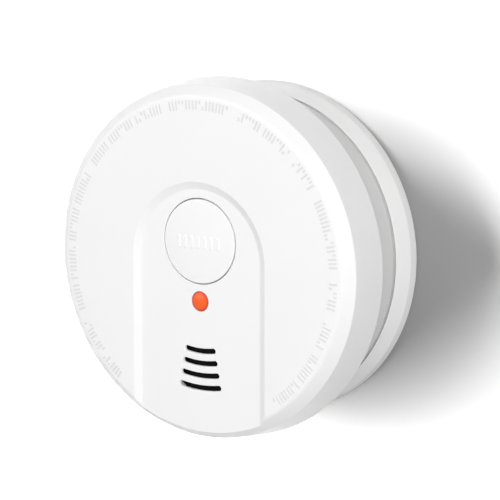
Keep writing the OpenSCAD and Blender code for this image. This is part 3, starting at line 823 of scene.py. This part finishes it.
def gauzeCup():
    ceiling = panelOut - panel["backing"]
    floor = ceiling - gauze["below"]
    rim = ceiling - gauze["rimGap"]
    rear = floor - gauze["crown"] - gauze["thick"]
    return lathe("hornGauze", roundedLine([
        (0.05 * mm, floor, 0),
        *crownLine(gauze["radius"], gauze["crown"], floor)[1:],
        (gauze["radius"], rim, 0.05 * mm),
        (gauze["rimRadius"], rim, 0.05 * mm),
        (gauze["rimRadius"], rear, 0.1 * mm),
        (0.05 * mm, rear, 0)]), (0, innerWalls["hornUp"]), segments=96)


hornGauze = softShade(gauzeCup())
# Near-black: painted shade for the insides of the slots
gauzeCloth = plainPlastic("gauzeCloth", (0.002, 0.002, 0.002), (0.006, 0.006, 0.006), 0.8,
                          0.25 * mm, shine=0.12)
dress(hornGauze, gauzeCloth, "alarm", "black_plastic")
print("horn gauze made:", len(hornGauze.data.polygons), "faces")


ribLow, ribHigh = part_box("inlet_ribs")
ribs = {
    "count": 48, "pitch": math.radians(7.5), "radius": 51.7 * mm, "width": 1.2 * mm,
    "length": 2.8 * mm, "corner": 0.4 * mm}
inletRibs = ring.grow("inletBars", {
    "Count": ribs["count"], "Radius": ribs["radius"], "Start": ribs["pitch"] / 2,
    "Sweep": 2 * math.pi - ribs["pitch"], "Width": ribs["width"], "Length": ribs["length"],
    "Height": ribHigh.y - ribLow.y, "Corner": ribs["corner"], "Out": -ribHigh.y,
    "Material": slotFinish["white_plastic"]})
dress(inletRibs, slotFinish["white_plastic"], "alarm", "white_plastic", "inlet_ribs")
print("inlet ribs made:", len(inletRibs.data.polygons), "faces")

screen = {
    "radius": 49.9 * mm, "wire": 0.3 * mm, "pitch": 0.85 * mm, "edgeRadius": 50.45 * mm,
    "edge": 0.5 * mm}


# A fine mesh behind the ribs keeps insects out: upright wires held by hoops
def wovenInlet():
    low, high = -ribHigh.y, -ribLow.y
    count = int(2 * math.pi * screen["radius"] / screen["pitch"])
    wires = ring.grow("screenWires", {
        "Count": count, "Radius": screen["radius"], "Start": 0.0,
        "Sweep": 2 * math.pi * (1 - 1 / count), "Width": screen["wire"],
        "Length": screen["wire"], "Height": high - low, "Corner": 0.1 * mm, "Out": low,
        "Material": slotFinish["black_plastic"]})
    inner, thick = screen["radius"] - screen["wire"] / 2, screen["wire"]
    hoops = [(screen["edgeRadius"], low, low + screen["edge"]),
             (screen["edgeRadius"], high - screen["edge"], high)]
    steps = round((high - low) / screen["pitch"])
    for i in range(1, steps):
        out = low + (high - low) * i / steps
        hoops.append((inner + thick, out - thick / 2, out + thick / 2))
    solids = [wires]
    for outer, start, end in hoops:
        solids.append(lathe("hoop", [
            (inner, start), (outer, start), (outer, end), (inner, end)], closed=True))
    work = bmesh.new()
    for solid in solids:
        work.from_mesh(solid.data)
        bpy.data.objects.remove(solid)
    return newPiece("inletMesh", work)


inletScreen = wovenInlet()
dress(inletScreen, slotFinish["black_plastic"], "alarm", "black_plastic")
print("inlet mesh made:", len(inletScreen.data.polygons), "faces")


baseLow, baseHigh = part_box("mounting_base")
base = {
    "rearRadius": baseHigh.x, "shoulderRadius": 56.2 * mm, "frontRadius": 53.9 * mm,
    "shoulderOut": 3.2 * mm, "depth": -baseLow.y, "wall": 2.0 * mm, "floor": 2.4 * mm,
    "lip": 0.2 * mm, "groove": 0.7 * mm, "grooveRadius": 53.2 * mm,
    "relief": 0.8 * mm, "landWidth": 7 * mm, "padRadius": 12 * mm, "spoke": 5 * mm,
    "slotAcross": 30 * mm, "slotUp": -10 * mm, "slotWidth": 4.4 * mm, "slotLength": 10 * mm,
    "slotPad": 6 * mm, "draft": 0.5 * mm, "spokeAngles": (0, 60, 120)}
# Each hook's low end, stop and high end are in degrees from its own angle
hooks = {
    "angles": (90, 210, 330), "low": -11.4, "stop": -7.4, "high": 7, "inner": 45 * mm,
    "post": 48.1 * mm, "outer": 52.5 * mm, "gapOut": 5.5 * mm, "topOut": 7 * mm,
    "sunk": 0.2 * mm}


def baseDish():
    inner = base["frontRadius"] - base["wall"]
    profile = roundedLine([
        (0.1 * mm, 0, 0),
        (base["rearRadius"], 0, 0.35 * mm),
        (base["shoulderRadius"], base["shoulderOut"], 0.3 * mm),
        (base["frontRadius"], base["depth"], 0.3 * mm),
        (base["frontRadius"] - base["lip"], base["depth"], 0.1 * mm),
        (base["grooveRadius"], base["depth"] - base["groove"], 0.2 * mm),
        (inner, base["depth"] - base["groove"], 0.4 * mm),
        (inner, base["floor"], 0.8 * mm),
        (0.1 * mm, base["floor"], 0)])
    return lathe("wallBase", profile, segments=256)


def longHole(name, across, up, width, length, low, high):
    rings = []
    half = width / 2
    run = length / 2 - half
    steps = 16
    for out in (low, high):
        ring = []
        for side in (1, -1):
            for i in range(steps + 1):
                angle = math.pi * (i / steps - 0.5) + (0 if side == 1 else math.pi)
                ring.append(placed(across + side * run + half * math.cos(angle),
                                   up + half * math.sin(angle), out))
        rings.append(ring)
    return loft(name, rings)


def strip(name, angle, width, low, high):
    reach = base["rearRadius"] * 1.2
    along = Vector((math.cos(angle), math.sin(angle)))
    side = Vector((-along.y, along.x)) * width / 2
    corners = [along * reach + side, along * reach - side, -along * reach - side,
               -along * reach + side]
    return loft(name, [[placed(c.x, c.y, out) for c in corners] for out in (low, high)])


def reliefCutter():
    outer = base["rearRadius"] - base["landWidth"]
    depth, draft = base["relief"], base["draft"]
    cutter = lathe("reliefCutter", [
        (base["padRadius"] - draft, -past), (outer + draft, -past), (outer, depth),
        (base["padRadius"], depth)], closed=True)
    keep = [strip("spoke", math.radians(angle), base["spoke"], -2 * past, 2 * past)
            for angle in base["spokeAngles"]]
    for side in (-1, 1):
        keep.append(longHole(
            "slotPad", side * base["slotAcross"], base["slotUp"],
            base["slotWidth"] + base["slotPad"], base["slotLength"] + base["slotPad"],
            -2 * past, 2 * past))
    return combine(cutter, keep, "DIFFERENCE")


def lockHook(angle):
    solid = sector("hook", hooks["inner"], hooks["outer"], base["floor"] - hooks["sunk"],
                   hooks["topOut"], angle + hooks["low"], angle + hooks["high"])
    pocket = sector("hookPocket", hooks["inner"] - past, hooks["post"], base["floor"] - past,
                    hooks["gapOut"], angle + hooks["stop"], angle + hooks["high"] + 1)
    return combine(solid, [pocket], "DIFFERENCE")


wallBase = combine(baseDish(), [lockHook(angle) for angle in hooks["angles"]], "UNION")
screwHoles = [longHole("screwHole", side * base["slotAcross"], base["slotUp"],
                       base["slotWidth"], base["slotLength"], -past, base["floor"] + past)
              for side in (-1, 1)]
combine(wallBase, [reliefCutter(), *screwHoles], "DIFFERENCE")
softShade(wallBase)
dress(wallBase, basePlastic, "base", "white_plastic", "mounting_base")
print("mounting base made:", len(wallBase.data.polygons), "faces")


# A finish is what the camera sees, what the object gets from it, and the share that glows
stage = {
    "wallOut": -0.4 * mm, "wallHole": base["rearRadius"] - 0.6 * mm, "wallReach": 2.5,
    "floorUp": -0.6, "wallFinish": (0.3, 0.018, 0.15), "floorFinish": (0.8, 0.35, 1.0),
    "sky": 0.3}


# 1 for what the camera sees, directly or in or through a smooth surface, and 0 for the rest
def seenPart(graph):
    seen, *others = (graph.node("ShaderNodeLightPath", output="Is " + kind + " Ray")
                     for kind in ("Camera", "Glossy", "Transmission"))
    for other in others:
        seen = seen.maths("MAXIMUM", seen, other)
    return seen


# The lamps shine through floor and wall. The backs of both are clear, and their fronts give
# the object less light than the camera sees there.
def backdropFinish(name, shade, bounce, glow):
    shader = Shader(name)
    seen = seenPart(shader)
    isShadow = shader.node("ShaderNodeLightPath", output="Is Shadow Ray")
    plain = shader.node("ShaderNodeBsdfDiffuse", None, {
        "Color": shader.mixed(seen, (bounce,) * 3 + (1,), (shade,) * 3 + (1,))})
    white = shader.node("ShaderNodeEmission", None, {"Strength": 1.0})
    lit = shader.node("ShaderNodeMixShader", None, {0: seen * glow, 1: plain, 2: white})
    behind = shader.node("ShaderNodeNewGeometry", output="Backfacing")
    clear = shader.node("ShaderNodeBsdfTransparent")
    surface = shader.node("ShaderNodeMixShader", None, {
        0: behind.maths("MAXIMUM", behind, isShadow), 1: lit, 2: clear})
    shader.node("ShaderNodeOutputMaterial", None, {"Surface": surface})
    return shader.material


# The wall has a hole behind the base, so that light reaches the base's rear face
def buildStage():
    work = bmesh.new()
    sides = 96
    rows = []
    for radius in (stage["wallHole"], stage["wallReach"]):
        row = []
        for i in range(sides):
            angle = 2 * math.pi * i / sides
            row.append(work.verts.new(placed(radius * math.cos(angle),
                                             radius * math.sin(angle), stage["wallOut"])))
        rows.append(row)
    for i in range(sides):
        j = (i + 1) % sides
        work.faces.new((rows[0][i], rows[0][j], rows[1][j], rows[1][i]))
    mesh = bpy.data.meshes.new("backWall")
    work.to_mesh(mesh)
    work.free()
    if mesh.polygons[0].normal.y > 0:
        mesh.flip_normals()
    wall = bpy.data.objects.new("backWall", mesh)
    reach = stage["wallReach"]
    flat = bpy.data.meshes.new("paleFloor")
    flat.from_pydata([(-reach, -reach, stage["floorUp"]), (reach, -reach, stage["floorUp"]),
                      (reach, reach, stage["floorUp"]), (-reach, reach, stage["floorUp"])],
                     [], [(0, 1, 2, 3)])
    floor = bpy.data.objects.new("paleFloor", flat)
    for piece, finish in ((wall, stage["wallFinish"]), (floor, stage["floorFinish"])):
        bpy.context.scene.collection.objects.link(piece)
        piece.data.materials.append(backdropFinish(piece.name, *finish))
    return wall


backWall = buildStage()


# Directions are degrees to the right of straight ahead and up from level
lamps = {
    "front": {"turn": -25, "rise": 15, "size": 0.9, "power": 3.9},
    "key": {"turn": 34, "rise": 18, "size": 0.9, "power": 8.45},
    "right": {"turn": 55, "rise": 5, "size": 0.9, "power": 3.3},
    "highRight": {"turn": 80, "rise": 45, "size": 0.9, "power": 1.7},
    "highLeft": {"turn": -50, "rise": 55, "size": 0.9, "power": 0.5},
    "left": {"turn": -50, "rise": 20, "size": 0.9, "power": 3.2},
    "top": {"turn": 10, "rise": 70, "size": 0.9, "power": 1.2},
    "lowRight": {"turn": 60, "rise": -30, "size": 0.9, "power": 4.0},
    "rear": {"turn": 200, "rise": 16, "size": 1.2, "power": 8.5}}
wallSuns = {
    "wide": {"turn": -69, "rise": -4.3, "strength": 53.9, "spread": 76.0},
    "narrow": {"turn": -60, "rise": 31, "strength": 7.8, "spread": 16.0},
    "above": {"turn": -8.5, "rise": 38, "strength": 1.4, "spread": 54.0}}
lampDistance = 1.4


def facing(turn, rise):
    turn, rise = math.radians(turn), math.radians(rise)
    return Vector((math.sin(turn) * math.cos(rise), -math.cos(turn) * math.cos(rise),
                   math.sin(rise)))


def aimed(thing, place, target):
    bpy.context.scene.collection.objects.link(thing)
    thing.location = place
    thing.rotation_mode = "QUATERNION"
    thing.rotation_quaternion = (target - place).to_track_quat("-Z", "Y")
    return thing


# A lamp lights either only the wall or everything but the wall
def limitLight(lamp, wallOnly):
    group = bpy.data.collections.new(lamp.name + "Lit")
    group.objects.link(backWall)
    lamp.light_linking.receiver_collection = group
    group.collection_objects[0].light_linking.link_state = "INCLUDE" if wallOnly else "EXCLUDE"


middle = Vector((0, -0.02, 0))
for name, lamp in lamps.items():
    light = bpy.data.lights.new(name + "Lamp", "AREA")
    light.size = lamp["size"]
    light.energy = lamp["power"]
    spot = middle + facing(lamp["turn"], lamp["rise"]) * lampDistance
    limitLight(aimed(bpy.data.objects.new(light.name, light), spot, middle), wallOnly=False)
for name, wallSun in wallSuns.items():
    light = bpy.data.lights.new(name + "Sun", "SUN")
    light.energy = wallSun["strength"]
    light.angle = math.radians(wallSun["spread"])
    spot = facing(wallSun["turn"], wallSun["rise"])
    limitLight(aimed(bpy.data.objects.new(light.name, light), spot, Vector()), wallOnly=True)


def paleWorld(shade):
    world = bpy.data.worlds.new("paleWorld")
    world.use_nodes = True
    bpy.context.scene.world = world
    graph = Graph(world.node_tree)
    graph.tree.nodes.clear()
    strength = shade + seenPart(graph) * (1 - shade)
    sky = graph.node("ShaderNodeBackground", None, {
        "Color": (1.0, 1.0, 1.0, 1.0), "Strength": strength})
    graph.node("ShaderNodeOutputWorld", None, {"Surface": sky})


paleWorld(stage["sky"])

view = {"turn": 34.0, "rise": 9.7, "distance": 0.69, "lens": 151.6,
        "aim": (0.0093, -0.0272, 0.0032)}


def addCamera():
    data = bpy.data.cameras.new("camera")
    data.lens = view["lens"]
    data.sensor_width = 36
    data.clip_start = 0.01
    back = facing(view["turn"], view["rise"])
    aim = Vector(view["aim"])
    camera = aimed(bpy.data.objects.new("camera", data), aim + back * view["distance"], aim)
    bpy.context.scene.camera = camera


addCamera()
bpy.context.scene.view_settings.view_transform = "Standard"
print("stage, lights and camera made")
